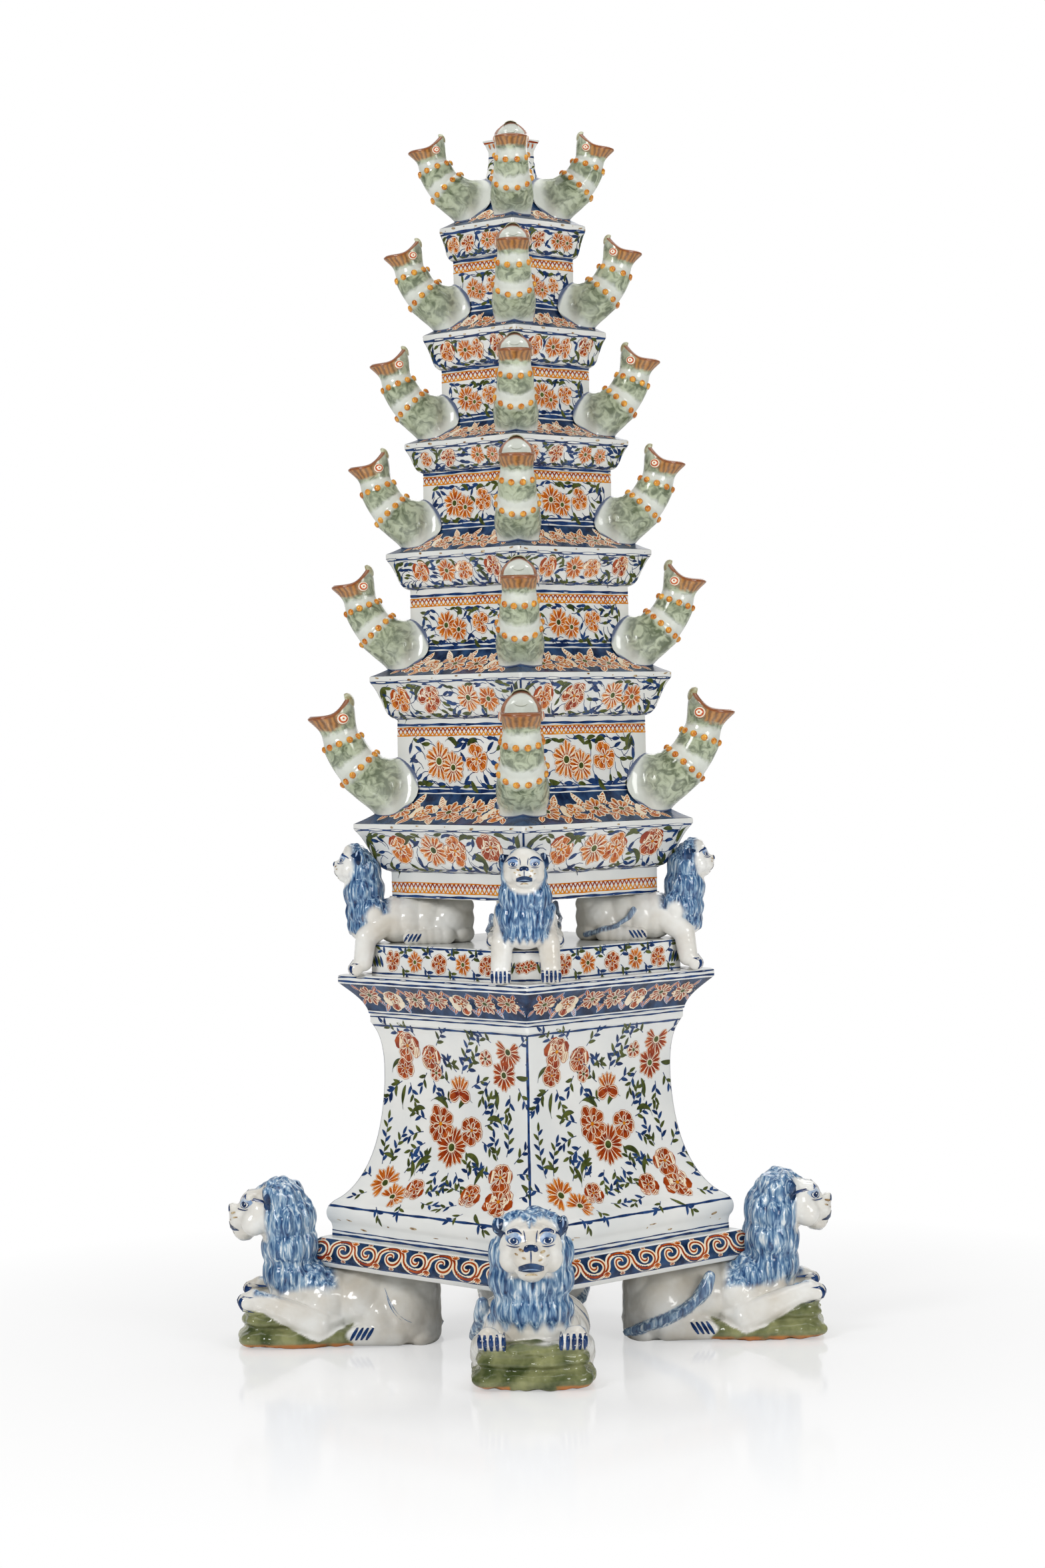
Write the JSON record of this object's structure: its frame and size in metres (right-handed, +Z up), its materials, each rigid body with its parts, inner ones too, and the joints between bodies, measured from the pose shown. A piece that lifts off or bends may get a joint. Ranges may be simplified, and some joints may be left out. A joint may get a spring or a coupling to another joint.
{
  "type": "flower pyramid",
  "caption": "Tall square flower pyramid of painted tin-glazed earthenware: stacked lift-off vessels with animal-head spouts at the corners, on a waisted pedestal carried by lions.",
  "frame": {"origin": "on the floor, under the middle of the tower", "axes": "+Z up along the tower; the corners of the square plan point along X and Y, the pictured corner along -Y"},
  "size_m": [0.528, 0.528, 1.0505],
  "materials": {
    "painted_glaze": "glossy white tin glaze painted in blue, iron red and green",
    "spout_glaze": "glossy white glaze with pale green wash and ochre touches",
    "lion_glaze": "glossy white glaze with blue manes and green mounds"
  },
  "bodies": {
    "stand": {"base_plate": "painted_glaze", "pedestal": "painted_glaze", "pedestal_cap": "painted_glaze", "lower_lion_right": "lion_glaze", "lower_lion_back": "lion_glaze", "lower_lion_left": "lion_glaze", "lower_lion_front": "lion_glaze", "upper_lion_right": "lion_glaze", "upper_lion_back": "lion_glaze", "upper_lion_left": "lion_glaze", "upper_lion_front": "lion_glaze"},
    "tier_1": {"tier_1_body": "painted_glaze", "tier_1_spout_right": "spout_glaze", "tier_1_spout_back": "spout_glaze", "tier_1_spout_left": "spout_glaze", "tier_1_spout_front": "spout_glaze"},
    "tier_2": {"tier_2_body": "painted_glaze", "tier_2_spout_right": "spout_glaze", "tier_2_spout_back": "spout_glaze", "tier_2_spout_left": "spout_glaze", "tier_2_spout_front": "spout_glaze"},
    "tier_3": {"tier_3_body": "painted_glaze", "tier_3_spout_right": "spout_glaze", "tier_3_spout_back": "spout_glaze", "tier_3_spout_left": "spout_glaze", "tier_3_spout_front": "spout_glaze"},
    "tier_4": {"tier_4_body": "painted_glaze", "tier_4_spout_right": "spout_glaze", "tier_4_spout_back": "spout_glaze", "tier_4_spout_left": "spout_glaze", "tier_4_spout_front": "spout_glaze"},
    "tier_5": {"tier_5_body": "painted_glaze", "tier_5_spout_right": "spout_glaze", "tier_5_spout_back": "spout_glaze", "tier_5_spout_left": "spout_glaze", "tier_5_spout_front": "spout_glaze"},
    "tier_6": {"tier_6_body": "painted_glaze", "tier_6_spout_right": "spout_glaze", "tier_6_spout_back": "spout_glaze", "tier_6_spout_left": "spout_glaze", "tier_6_spout_front": "spout_glaze"}
  },
  "joints": [
    {"name": "tier_1_lift", "type": "slide", "parent": "stand", "child": "tier_1", "axis": [0, 0, 1], "range_m": [0, 0.08]},
    {"name": "tier_2_lift", "type": "slide", "parent": "tier_1", "child": "tier_2", "axis": [0, 0, 1], "range_m": [0, 0.08]},
    {"name": "tier_3_lift", "type": "slide", "parent": "tier_2", "child": "tier_3", "axis": [0, 0, 1], "range_m": [0, 0.08]},
    {"name": "tier_4_lift", "type": "slide", "parent": "tier_3", "child": "tier_4", "axis": [0, 0, 1], "range_m": [0, 0.08]},
    {"name": "tier_5_lift", "type": "slide", "parent": "tier_4", "child": "tier_5", "axis": [0, 0, 1], "range_m": [0, 0.08]},
    {"name": "tier_6_lift", "type": "slide", "parent": "tier_5", "child": "tier_6", "axis": [0, 0, 1], "range_m": [0, 0.08]}
  ]
}
